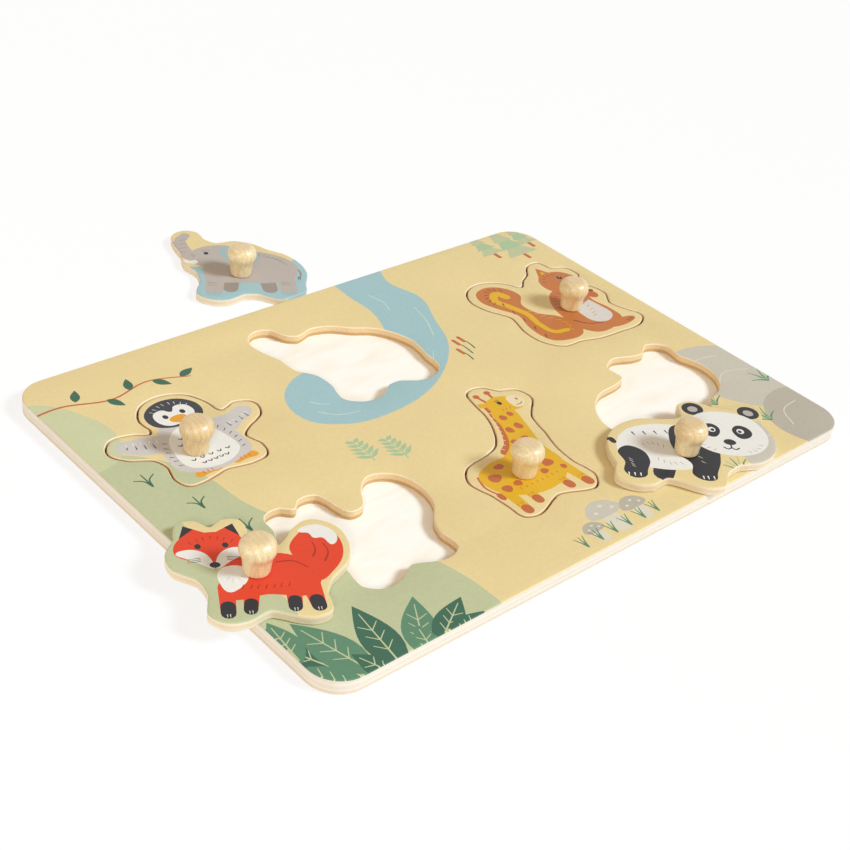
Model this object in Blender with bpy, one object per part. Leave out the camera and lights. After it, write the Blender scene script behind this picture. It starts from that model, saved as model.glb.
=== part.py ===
"""A wooden knob puzzle: a two-layer board with six recesses and six knobbed animal pieces.

Three pieces sit in their recesses, two lie loose on the board and one lies on the table.
Metres, +Z up. The origin is the centre of the board's underside, and +X runs along its long side.
"""

import math

import bmesh
import bpy
from mathutils import Matrix, Vector
from mathutils.geometry import interpolate_bezier

# The outlines and the pieces' places are drawn in this unit, a millimetre
DRAWN_UNIT = 0.001

# Board
BOARD_LENGTH = 0.300
BOARD_WIDTH = 0.217
BOARD_CORNER_RADIUS = 0.014
BACKING_THICKNESS = 0.0030
TOP_SHEET_THICKNESS = 0.0040
GLUE_GAP = 0.0003

# Pieces
PLATE_THICKNESS = 0.0040
RECESS_PLAY = 0.0008
REST_GAP = 0.0003
EDGE_ROUNDING = 0.0006
EDGE_SEGMENTS = 2

# Knobs, turned in one with the tenon that is glued through the plate
KNOB_HEIGHT = 0.0150
KNOB_HEAD_DIAMETER = 0.0145
KNOB_NECK_DIAMETER = 0.0118
KNOB_FOOT_DIAMETER = 0.0105
KNOB_TOP_FLAT_DIAMETER = 0.0066
KNOB_NECK_HEIGHT = 0.0064
KNOB_WIDEST_HEIGHT = 0.0102
KNOB_FOOT_ROUNDING = 0.0007
TENON_DIAMETER = 0.0060
TENON_FIT_GAP = 0.0003
KNOB_FACETS = 24

# The recesses stand in two rows of three equal cells
COLUMNS = 3
ROWS = 2

OUTLINE_TURN_PER_STEP = math.radians(17)
CORNER_STEPS = 7
MERGE_DISTANCE = 1e-6

RECESS_FLOOR = BACKING_THICKNESS
BOARD_TOP = BACKING_THICKNESS + GLUE_GAP + TOP_SHEET_THICKNESS

# Outlines in drawn units from the knob's axis, counter-clockwise, animal upright
ELEPHANT_OUTLINE = (
    (14, -24), (22, -25), (29, -21), (31, -10), (33, 1), (30, 12), (24, 20), (16, 25), (9, 31),
    (-1, 34), (-10, 32), (-15, 36), (-18, 43), (-25, 45), (-31, 40), (-31, 31), (-28, 21),
    (-27, 10), (-22, 3), (-21, -9), (-23, -19), (-18, -24), (-8, -25), (0, -20), (7, -20),
)
SQUIRREL_OUTLINE = (
    (-8, -28), (6, -29), (19, -29), (26, -24), (23, -15), (21, -7), (26, 1), (25, 9), (22, 15),
    (28, 22), (27, 30), (20, 34), (18, 41), (11, 41), (5, 35), (-2, 31), (-7, 27), (-13, 34),
    (-23, 40), (-34, 38), (-40, 29), (-38, 18), (-33, 8), (-36, -3), (-36, -15), (-29, -24), (-19, -25),
)
PENGUIN_OUTLINE = (
    (-8, -19), (3, -17), (14, -19), (23, -17), (25, -10), (23, -2), (29, 3), (38, 8), (40, 16),
    (33, 20), (25, 18), (23, 26), (19, 35), (9, 40), (-3, 37), (-8, 29), (-9, 19), (-16, 22),
    (-26, 23), (-31, 16), (-26, 8), (-18, 3), (-16, -4), (-18, -12), (-16, -18),
)
FOX_OUTLINE = (
    (10, -25), (17, -27), (24, -24), (24, -15), (27, -7), (34, 1), (37, 13), (33, 24), (24, 28),
    (16, 22), (10, 14), (3, 14), (0, 22), (-2, 30), (-9, 31), (-14, 27), (-19, 31), (-26, 30),
    (-28, 21), (-32, 12), (-30, 3), (-22, -3), (-19, -12), (-20, -22), (-14, -27), (-5, -26), (2, -22),
)
GIRAFFE_OUTLINE = (
    (-14, -23), (-7, -21), (2, -18), (11, -21), (19, -23), (25, -17), (24, -6), (25, 5), (29, 17),
    (33, 29), (38, 34), (43, 39), (42, 47), (34, 51), (29, 57), (21, 57), (18, 50), (16, 40),
    (11, 29), (3, 20), (-8, 17), (-18, 15), (-24, 7), (-22, -3), (-21, -13), (-20, -21),
)
PANDA_OUTLINE = (
    (-3, -22), (5, -25), (13, -23), (16, -14), (22, -7), (32, -4), (40, 4), (42, 16), (39, 26),
    (40, 35), (33, 40), (26, 36), (18, 37), (9, 40), (2, 36), (2, 27), (-6, 24), (-17, 23),
    (-27, 17), (-33, 8), (-34, -3), (-32, -12), (-33, -21), (-26, -26), (-17, -25), (-11, -20),
)

# For each piece: its recess's cell and the knob's place from the cell's middle when it is home.
# A piece that is out also has the knob's place as it lies, and its turn there.
PIECES = {
    "penguin": {"outline": PENGUIN_OUTLINE, "cell": (0, 1), "home": (-9.0, -23.0)},
    "elephant": {
        "outline": ELEPHANT_OUTLINE, "cell": (1, 1), "home": (-10.0, -7.0),
        "lies_on": "table", "lies_at": (-4.1, 91.3), "turn": math.radians(-30),
    },
    "squirrel": {"outline": SQUIRREL_OUTLINE, "cell": (2, 1), "home": (13.0, -22.3)},
    "fox": {
        "outline": FOX_OUTLINE, "cell": (0, 0), "home": (14.5, 4.3),
        "lies_on": "board", "lies_at": (-36.7, 7.0), "turn": math.radians(-28),
    },
    "giraffe": {"outline": GIRAFFE_OUTLINE, "cell": (1, 0), "home": (-5.3, -0.6)},
    "panda": {
        "outline": PANDA_OUTLINE, "cell": (2, 0), "home": (-14.0, 0.3),
        "lies_on": "board", "lies_at": (-39.1, -31.9), "turn": math.radians(-40),
    },
}

COLOURS = {
    "print_sand": (0.78, 0.64, 0.35),
    "bare_ply": (0.86, 0.77, 0.62),
    "beech": (0.80, 0.62, 0.36),
    "penguin": (0.68, 0.66, 0.65),
    "elephant": (0.52, 0.47, 0.43),
    "squirrel": (0.57, 0.22, 0.07),
    "fox": (0.78, 0.07, 0.03),
    "giraffe": (0.78, 0.46, 0.03),
    "panda": (0.90, 0.88, 0.86),
}


def clear_scene():
    for obj in list(bpy.data.objects):
        bpy.data.objects.remove(obj, do_unlink=True)


def wood_material(name, roughness):
    material = bpy.data.materials.new(name)
    material.use_nodes = True
    shader = material.node_tree.nodes["Principled BSDF"]
    shader.inputs["Base Color"].default_value = (*COLOURS[name], 1.0)
    shader.inputs["Roughness"].default_value = roughness
    shader.inputs["Metallic"].default_value = 0.0
    return material


def smooth_outline(outline):
    """Points on a closed Bezier curve through the outline's own points, closer where it turns."""
    knots = [Vector(point) * DRAWN_UNIT for point in outline]
    count = len(knots)
    tangents = []
    for i, knot in enumerate(knots):
        to_next = knots[(i + 1) % count] - knot
        from_last = knot - knots[i - 1]
        blend = to_next / to_next.length ** 2 + from_last / from_last.length ** 2
        tangents.append(blend.normalized())
    loop = []
    for i, start in enumerate(knots):
        end = knots[(i + 1) % count]
        reach = (end - start).length / 3
        turn = tangents[i].angle(tangents[(i + 1) % count])
        steps = max(2, math.ceil(turn / OUTLINE_TURN_PER_STEP))
        curve = interpolate_bezier(
            start.to_3d(),
            (start + tangents[i] * reach).to_3d(),
            (end - tangents[(i + 1) % count] * reach).to_3d(),
            end.to_3d(),
            steps + 1,
        )
        loop.extend(point.to_2d() for point in curve[:-1])
    return loop


def widened(loop, by):
    """The loop moved outwards by a distance, square to itself at each point."""
    moved = []
    for i, point in enumerate(loop):
        ahead = (loop[(i + 1) % len(loop)] - point).normalized()
        behind = (point - loop[i - 1]).normalized()
        along = (ahead + behind).normalized()
        outwards = Vector((along.y, -along.x))
        moved.append(point + outwards * (by / max(0.5, along.dot(ahead))))
    return moved


def rounded_rectangle(length, width, radius):
    loop = []
    for quarter in range(4):
        side_x = 1 if quarter in (0, 3) else -1
        side_y = 1 if quarter in (0, 1) else -1
        centre = Vector((side_x * (length / 2 - radius), side_y * (width / 2 - radius)))
        for step in range(CORNER_STEPS + 1):
            angle = math.radians(90) * (quarter + step / CORNER_STEPS)
            loop.append(centre + Vector((math.cos(angle), math.sin(angle))) * radius)
    return loop


def circle(radius, facets):
    turn = math.tau / facets
    return [Vector((math.cos(i * turn), math.sin(i * turn))) * radius for i in range(facets)]


def wall_levels(bottom, thickness, top_steps, bottom_steps):
    """(inset, height) of each ring down a sheet's wall, with its upper and lower rims rounded."""
    levels = []
    for step in range(top_steps + 1):
        angle = math.radians(90) * step / max(1, top_steps)
        inset = EDGE_ROUNDING * (1 - math.sin(angle)) if top_steps else 0.0
        drop = EDGE_ROUNDING * (1 - math.cos(angle))
        levels.append((inset, bottom + thickness - drop))
    for step in range(bottom_steps + 1):
        angle = math.radians(90) * step / max(1, bottom_steps)
        inset = EDGE_ROUNDING * (1 - math.cos(angle))
        rise = EDGE_ROUNDING * (1 - math.sin(angle)) if bottom_steps else 0.0
        levels.append((inset, bottom + rise))
    return levels


def ring_of_edges(form, loop, height):
    verts = [form.verts.new((point.x, point.y, height)) for point in loop]
    return [form.edges.new((verts[i - 1], vert)) for i, vert in enumerate(verts)]


def sheet_mesh(name, outer, holes, bottom, thickness, top_steps, bottom_steps, sharp_holes=()):
    """A flat sheet with holes: each wall is lofted through its rings, then both faces are filled."""
    form = bmesh.new()
    rounded = wall_levels(bottom, thickness, top_steps, bottom_steps)
    sharp = wall_levels(bottom, thickness, 0, 0)
    walls = [(outer, -1, rounded)]
    walls += [(hole, 1, rounded) for hole in holes]
    walls += [(hole, 1, sharp) for hole in sharp_holes]
    upper_rims = []
    lower_rims = []
    for loop, side, levels in walls:
        rings = [ring_of_edges(form, widened(loop, side * inset), height) for inset, height in levels]
        for upper, lower in zip(rings, rings[1:]):
            bmesh.ops.bridge_loops(form, edges=upper + lower)
        upper_rims += rings[0]
        lower_rims += rings[-1]
    bmesh.ops.triangle_fill(form, edges=upper_rims, use_beauty=True)
    bmesh.ops.triangle_fill(form, edges=lower_rims, use_beauty=True)
    bmesh.ops.recalc_face_normals(form, faces=form.faces)
    mesh = bpy.data.meshes.new(name)
    form.to_mesh(mesh)
    form.free()
    return mesh


def knob_profile():
    """(radius, height) down the knob's side, from its top flat to its tenon's end."""
    head = KNOB_HEAD_DIAMETER / 2
    neck = KNOB_NECK_DIAMETER / 2
    foot = KNOB_FOOT_DIAMETER / 2
    flat = KNOB_TOP_FLAT_DIAMETER / 2
    tenon = TENON_DIAMETER / 2
    crown = [(0.0, KNOB_HEIGHT), (flat, KNOB_HEIGHT)]
    crown_steps = 5
    rise = KNOB_HEIGHT - KNOB_WIDEST_HEIGHT
    for step in range(1, crown_steps + 1):
        angle = math.radians(90) * step / crown_steps
        crown.append((flat + (head - flat) * math.sin(angle), KNOB_WIDEST_HEIGHT + rise * math.cos(angle)))
    throat = []
    throat_steps = 5
    drop = KNOB_WIDEST_HEIGHT - KNOB_NECK_HEIGHT
    for step in range(1, throat_steps + 1):
        share = step / throat_steps
        ease = (1 - math.cos(math.pi * share)) / 2
        throat.append((head + (neck - head) * ease, KNOB_WIDEST_HEIGHT - drop * share))
    base = [(foot, KNOB_FOOT_ROUNDING), (foot - KNOB_FOOT_ROUNDING, 0.0)]
    tenon_end = -(GLUE_GAP + PLATE_THICKNESS - REST_GAP)
    return [*crown, *throat, *base, (tenon, 0.0), (tenon, tenon_end), (0.0, tenon_end)]


def knob_mesh(name):
    form = bmesh.new()
    profile = [form.verts.new((radius, 0.0, height)) for radius, height in knob_profile()]
    edges = [form.edges.new(pair) for pair in zip(profile, profile[1:])]
    bmesh.ops.spin(
        form, geom=profile + edges, cent=(0, 0, 0), axis=(0, 0, 1), dvec=(0, 0, 0),
        angle=math.tau, steps=KNOB_FACETS, use_merge=True,
    )
    bmesh.ops.remove_doubles(form, verts=form.verts, dist=MERGE_DISTANCE)
    bmesh.ops.recalc_face_normals(form, faces=form.faces)
    for face in form.faces:
        face.smooth = True
    mesh = bpy.data.meshes.new(name)
    form.to_mesh(mesh)
    form.free()
    mesh.set_sharp_from_angle(angle=math.radians(40))
    return mesh


def add_object(name, mesh, material, parent=None):
    mesh.materials.append(material)
    obj = bpy.data.objects.new(name, mesh)
    bpy.context.collection.objects.link(obj)
    if parent:
        obj.parent = parent
    return obj


def cell_middle(piece):
    column, row = piece["cell"]
    middle_x = BOARD_LENGTH * ((column + 0.5) / COLUMNS - 0.5)
    middle_y = BOARD_WIDTH * ((row + 0.5) / ROWS - 0.5)
    return Vector((middle_x, middle_y))


def home_of(piece):
    """Where the knob's axis stands on the board when the piece is in its recess."""
    return cell_middle(piece) + Vector(piece["home"]) * DRAWN_UNIT


def resting_place(piece):
    """The piece's place and turn as the puzzle stands, its origin on the plate's underside."""
    lies_on = piece.get("lies_on", "recess")
    height = {"recess": RECESS_FLOOR + REST_GAP, "board": BOARD_TOP + REST_GAP, "table": 0.0}[lies_on]
    if lies_on == "recess":
        return home_of(piece).to_3d() + Vector((0, 0, height)), 0.0
    place = cell_middle(piece) + Vector(piece["lies_at"]) * DRAWN_UNIT
    return place.to_3d() + Vector((0, 0, height)), piece["turn"]


def build_board(ply, printed):
    outer = rounded_rectangle(BOARD_LENGTH, BOARD_WIDTH, BOARD_CORNER_RADIUS)
    recesses = []
    for piece in PIECES.values():
        home = home_of(piece)
        opened = widened(smooth_outline(piece["outline"]), RECESS_PLAY)
        recesses.append([home + point for point in opened])
    backing = sheet_mesh("board_backing_sheet", outer, [], 0.0, BACKING_THICKNESS, 0, 1)
    add_object("board_backing_sheet", backing, ply)
    top = sheet_mesh(
        "board_top_sheet", outer, recesses, BACKING_THICKNESS + GLUE_GAP, TOP_SHEET_THICKNESS,
        EDGE_SEGMENTS, 0,
    )
    add_object("board_top_sheet", top, printed)


def build_piece(name, piece, beech):
    place, turn = resting_place(piece)
    carrier = bpy.data.objects.new(name + "_lift_axis", None)
    bpy.context.collection.objects.link(carrier)
    carrier.matrix_world = Matrix.Translation(place) @ Matrix.Rotation(turn, 4, "Z")
    hole = circle(TENON_DIAMETER / 2 + TENON_FIT_GAP, KNOB_FACETS)
    plate = sheet_mesh(
        name + "_plate", smooth_outline(piece["outline"]), [], 0.0, PLATE_THICKNESS,
        EDGE_SEGMENTS, 1, sharp_holes=[hole],
    )
    add_object(name + "_plate", plate, wood_material(name, 0.45), carrier)
    knob = add_object(name + "_knob", knob_mesh(name + "_knob"), beech, carrier)
    knob.location.z = PLATE_THICKNESS + GLUE_GAP


def build_puzzle():
    clear_scene()
    build_board(wood_material("bare_ply", 0.6), wood_material("print_sand", 0.45))
    beech = wood_material("beech", 0.25)
    for name, piece in PIECES.items():
        build_piece(name, piece, beech)


build_puzzle()
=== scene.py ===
# %% [markdown]
# # A wooden knob puzzle
#
# The real toy is a printed plywood board with six shaped recesses. A flat animal with a turned wooden
# knob belongs in each one. Three animals are in place, two lie loose on the board and one lies beside it.
#
# The solid shapes come from the CAD frame. This script gives the sheets their printed pictures and soft
# sanded rims, turns finer knobs, and sets up the wood, the light and the camera.
# Lengths are in metres. Pictures are drawn in millimetres, as they would be on paper.

# %% Load the frame
import math

import bmesh
import bpy
from mathutils import Matrix, Vector
from mathutils.geometry import delaunay_2d_cdt


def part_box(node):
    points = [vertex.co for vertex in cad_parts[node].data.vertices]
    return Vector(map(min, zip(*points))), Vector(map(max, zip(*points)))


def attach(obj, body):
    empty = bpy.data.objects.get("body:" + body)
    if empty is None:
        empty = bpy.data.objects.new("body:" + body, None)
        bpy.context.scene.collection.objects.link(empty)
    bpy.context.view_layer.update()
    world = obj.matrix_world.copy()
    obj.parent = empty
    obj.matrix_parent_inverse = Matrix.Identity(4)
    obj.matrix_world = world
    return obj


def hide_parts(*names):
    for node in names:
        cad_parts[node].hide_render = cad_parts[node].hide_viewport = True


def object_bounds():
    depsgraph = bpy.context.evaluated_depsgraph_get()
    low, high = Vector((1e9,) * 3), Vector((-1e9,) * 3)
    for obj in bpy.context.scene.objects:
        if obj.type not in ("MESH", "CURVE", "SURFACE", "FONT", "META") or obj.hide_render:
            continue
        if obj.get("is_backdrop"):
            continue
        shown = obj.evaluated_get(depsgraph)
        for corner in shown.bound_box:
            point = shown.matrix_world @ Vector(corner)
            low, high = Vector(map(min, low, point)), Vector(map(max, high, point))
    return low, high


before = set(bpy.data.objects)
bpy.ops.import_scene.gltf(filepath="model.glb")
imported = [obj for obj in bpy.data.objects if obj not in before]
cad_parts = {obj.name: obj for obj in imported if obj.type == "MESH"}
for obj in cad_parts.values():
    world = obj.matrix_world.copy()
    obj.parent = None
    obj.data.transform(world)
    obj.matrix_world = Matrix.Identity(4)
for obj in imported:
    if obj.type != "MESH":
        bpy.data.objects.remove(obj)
cad_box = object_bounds()
MM = 0.001
print("CAD nodes:", ", ".join(sorted(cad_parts)))

# %% [markdown]
# ## Curves that a brush or a saw would follow
#
# A fretsaw, and an illustrator's pen, move in smooth curves through a few chosen points. One function
# makes such a curve, and blobs, brush lines, ovals and leaves are all drawn with it. That keeps each
# picture down to a handful of readable points.

# %% Smooth curves


def curve_through(knots, closed=True, step=1.0):
    """Points on a smooth curve through the knots, about a step apart."""
    knots = [Vector(knot) for knot in knots]
    last = len(knots) - 1

    def knot(i):
        return knots[i % len(knots)] if closed else knots[min(max(i, 0), last)]

    def direction(i):
        ahead = knot(i + 1) - knot(i)
        behind = knot(i) - knot(i - 1)
        blend = Vector((0.0, 0.0))
        for side in (ahead, behind):
            if side.length:
                blend += side / side.length_squared
        return blend.normalized()

    loop = []
    for i in range(len(knots) if closed else last):
        start, end = knot(i), knot(i + 1)
        reach = (end - start).length / 3
        leaving = start + direction(i) * reach
        arriving = end - direction(i + 1) * reach
        steps = max(2, round((end - start).length / step))
        for k in range(steps):
            t = k / steps
            u = 1 - t
            loop.append(u**3 * start + 3 * u * u * t * leaving + 3 * u * t * t * arriving + t**3 * end)
    if not closed:
        loop.append(knots[-1])
    return loop


# %% Shapes to draw with


def blob(ink, *knots, step=1.0):
    """A closed smooth shape in an ink."""
    return ink, curve_through(knots, step=step)


def polygon(ink, *corners):
    """A closed shape with sharp corners."""
    return ink, [Vector(corner) for corner in corners]


def oval(ink, x, y, half_width, half_height, turn=0.0, points=28):
    """An ellipse, turned by some degrees."""
    tilt = Matrix.Rotation(math.radians(turn), 2)
    loop = []
    for i in range(points):
        angle = math.tau * i / points
        spoke = Vector((half_width * math.cos(angle), half_height * math.sin(angle)))
        loop.append(Vector((x, y)) + tilt @ spoke)
    return ink, loop


def direction_at(line, i):
    """The way a line of points runs at one of them."""
    return (line[min(i + 1, len(line) - 1)] - line[max(i - 1, 0)]).normalized()


def brush(ink, *knots, wide=1.0, end=None, step=1.0):
    """A brush line with round ends, from one width to another."""
    line = [Vector(knot) for knot in knots]
    if len(knots) > 2:
        line = curve_through(knots, closed=False, step=step)
    end = wide if end is None else end
    left, right = [], []
    for i, point in enumerate(line):
        along = direction_at(line, i)
        half = (wide + (end - wide) * i / (len(line) - 1)) / 2
        across = Vector((-along.y, along.x)) * half
        left.append(point + across)
        right.append(point - across)

    def round_end(middle, rim):
        spoke = rim - middle
        return [middle + Matrix.Rotation(-math.pi * k / 6, 2) @ spoke for k in range(1, 6)]

    return ink, left + round_end(line[-1], left[-1]) + right[::-1] + round_end(line[0], right[0])


def ticks(ink, *path, count, length, turn, wide=0.5):
    """Short strokes of an ink along a path, each turned from its direction by some degrees."""
    line = curve_through(path, closed=False, step=0.5)
    strokes = []
    for i in range(count):
        at = round((i + 0.5) / count * (len(line) - 1))
        tip = line[at] + Matrix.Rotation(math.radians(turn), 2) @ direction_at(line, at) * length
        strokes.append(brush(ink, line[at], tip, wide=wide, end=wide * 0.5))
    return strokes


def leaf(ink, x, y, length, width, turn):
    """A pointed leaf, from its stalk's end."""
    lie = Matrix.Rotation(math.radians(turn), 2)
    shares = [i / 10 for i in range(11)]
    edge = [(length * s, width / 2 * math.sin(math.pi * s**0.8)) for s in shares]
    under = [(along, -out) for along, out in edge[:-1]]
    over = edge[:0:-1]
    return ink, [Vector((x, y)) + lie @ Vector(point) for point in [*under, *over]]


def leg(ink, foot_ink, hip, foot, wide, narrow, foot_length):
    """A tapering leg from hip to foot, and its last part in another ink."""
    ankle = Vector(foot) + (Vector(hip) - Vector(foot)).normalized() * foot_length
    return brush(ink, hip, foot, wide=wide, end=narrow), brush(foot_ink, ankle, foot, wide=narrow)


# %% [markdown]
# ## The six animals
#
# Each picture is screen printed: flat areas of ink, one over another. So each is a list of pairs, an ink
# and a shape, with what comes later lying on top. The points are in millimetres from the knob's middle,
# with the animal standing upright.

# %% Draw the fox


def fox_picture():
    art = [
        blob(
            "red", (22, -8), (28, -3), (33, 5), (34, 13), (31, 21), (25, 24.5), (18, 19), (14, 12), (16, 3),
        ),
        blob(
            "white", (30.5, 12), (33, 16), (30.5, 22), (25, 24.5), (19, 20.5), (22.5, 19.5), (24, 16.5),
            (27, 16.5),
        ),
        blob(
            "red", (-14, -9), (-10, 5), (3, 9.5), (13, 8), (21, 2), (22.5, -8), (19, -14), (2, -13.5),
            (-12, -14),
        ),
    ]
    legs = (
        ((-12, -8), (-13, -22), 6.4, 5.5),
        ((12, -8), (11, -21), 6.4, 5.1),
        ((-3, -10), (-5, -21), 6.0, 5.1),
        ((18, -6), (19.5, -21.5), 8.0, 5.5),
    )
    limbs, paws = zip(*[leg("red", "black", *row, foot_length=3.6) for row in legs])
    art += [
        *limbs,
        *paws,
        blob("white", (-13, 2), (-4, 2), (-3.5, -4), (-7, -9), (-11, -11), (-14, -6)),
        polygon("red", (-27, 17), (-14.5, 22.5), (-23.8, 28)),
        polygon("red", (-13.5, 22.5), (-2.5, 17), (-5.2, 28)),
        polygon("black", (-25.9, 20.6), (-20.2, 25.8), (-23.8, 28)),
        polygon("black", (-8.6, 25.8), (-3.4, 20.6), (-5.2, 28)),
        blob(
            "red", (-14.5, 2.6), (-8, 6.5), (-0.8, 12), (-2.5, 19), (-9, 23), (-14.5, 23.6), (-20, 23),
            (-27, 19), (-28.5, 12), (-21, 6.5),
        ),
        blob("white", (-28, 11.6), (-22.5, 14), (-18, 12), (-15, 6), (-14.6, 3.2), (-21, 6.5), (-25, 9.3)),
        blob("white", (-1.2, 11.6), (-6.5, 14), (-11, 12), (-14, 6), (-14.4, 3.2), (-8, 6.5), (-4, 9.3)),
        oval("black", -14.5, 4.6, 2.0, 1.6),
        oval("black", -19.6, 15.6, 1.2, 1.5),
        oval("black", -9.4, 15.6, 1.2, 1.5),
        brush("dark_red", (8, 4), (14, 4), (19, 0), wide=0.8, end=0.5),
        brush("dark_red", (26, 3), (28, 8), (27, 13), wide=0.8, end=0.5),
        brush("dark_red", (22, 6), (23.5, 10), (23, 14), wide=0.8, end=0.5),
        *ticks("dark_red", (-8, -9), (2, -10), (12, -9.6), count=7, length=2.2, turn=70, wide=0.6),
        *ticks("dark_red", (-24, 18), (-14.5, 21), (-5, 18), count=7, length=1.9, turn=-90),
        *ticks("pale_grey", (-11, -2), (-8, -4), (-5, -2), count=4, length=2.2, turn=-80),
        *ticks("charcoal", (-19.4, 9.4), (-19.4, 6.6), count=3, length=5.0, turn=-84, wide=0.35),
        *ticks("charcoal", (-9.6, 9.4), (-9.6, 6.6), count=3, length=5.0, turn=84, wide=0.35),
    ]
    for _, (x, y), _, _ in legs:
        toes = ((x - 1.6, y - 0.6), (x + 1.6, y - 0.6))
        art += ticks("pale_grey", *toes, count=2, length=1.4, turn=-90, wide=0.4)
    return art


# %% Draw the panda


def panda_picture():
    art = [
        brush("black", (-10, -8), (-12.5, -17.5), wide=10, end=9),
        blob(
            "white", (-30, -3), (-27, -11), (-16, -14), (0, -13), (11, -7), (13, 6), (8, 17), (-3, 19.5),
            (-14, 18.5), (-24, 13.5), (-29, 6),
        ),
        blob(
            "black", (-30, -3), (-28, -11), (-29, -18), (-26, -21.5), (-20, -20), (-19, -16), (-17, -9),
            (-19, -2), (-26, 1),
        ),
        blob(
            "black", (-2, 19.3), (-6, 8), (-4, -2), (1, -9), (0.5, -17), (4, -20), (10, -19), (11, -15),
            (14, -6), (14, 8), (6, 18),
        ),
        brush("black", (-31, 3.4), (-32, 5), wide=2.6, end=3.0),
        oval("black", 8.6, 33.6, 5.0, 4.8, 30),
        oval("black", 34.0, 33.8, 5.0, 4.8, -30),
        blob(
            "white", (21, -0.5), (32, 2.5), (38.5, 11), (38, 22), (32, 30.5), (21.5, 33), (11, 30.5),
            (4, 22), (3.5, 11), (10, 2.5),
        ),
    ]
    for side in (-1, 1):
        nose = 21
        patch = ((9, 13.5), (11.5, 17), (10, 21.5), (6, 23), (3, 20), (3.5, 15.5), (6, 12.8))
        art.append(blob("black", *[(nose + side * x, y) for x, y in patch]))
        art.append(oval("white", nose + side * 6.4, 18.4, 1.7, 1.9))
        art.append(oval("black", nose + side * 6.1, 18.2, 0.9, 1.0))
    art += [
        blob("black", (21, 7.3), (23.8, 9.6), (22.8, 11.2), (19.2, 11.2), (18.2, 9.6), step=0.6),
        brush("black", (21, 7.6), (21, 5.4), wide=0.7),
        brush("black", (17.6, 5.4), (19.4, 4.2), (21, 5.4), wide=0.7, step=0.6),
        brush("black", (21, 5.4), (22.6, 4.2), (24.4, 5.4), wide=0.7, step=0.6),
    ]
    for i in range(4):
        art.append(brush("black", (-22 + 5 * i, 11.5 + i), (-21 + 5 * i, 9.5 + i), wide=0.8, end=0.4))
    art += [
        oval("taupe", 8.6, 33.4, 2.4, 2.2, 30),
        oval("taupe", 34.0, 33.6, 2.4, 2.2, -30),
        *ticks("taupe", (-20, 3), (-14, 5), (-8, 3), count=5, length=2.0, turn=-70),
        *ticks("taupe", (-14, -6), (-8, -9), (-3, -8), count=5, length=2.0, turn=-60),
        *ticks("taupe", (3, 12), (4, 2), (6, -8), count=6, length=2.0, turn=40),
        *ticks("taupe", (-26, -7), (-25, -14), count=4, length=1.8, turn=40),
        *ticks("taupe", (6, 10), (9, 5), (14, 2), count=4, length=1.8, turn=60),
        *ticks("taupe", (28, 2), (33, 5), (36, 10), count=4, length=1.8, turn=110),
        *ticks("white", (-28.4, -18.4), (-21.4, -18.4), count=3, length=1.9, turn=-90, wide=0.7),
        *ticks("white", (3.4, -17.4), (10.0, -17.0), count=3, length=1.9, turn=-90, wide=0.7),
    ]
    return art


# %% Draw the giraffe


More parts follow.
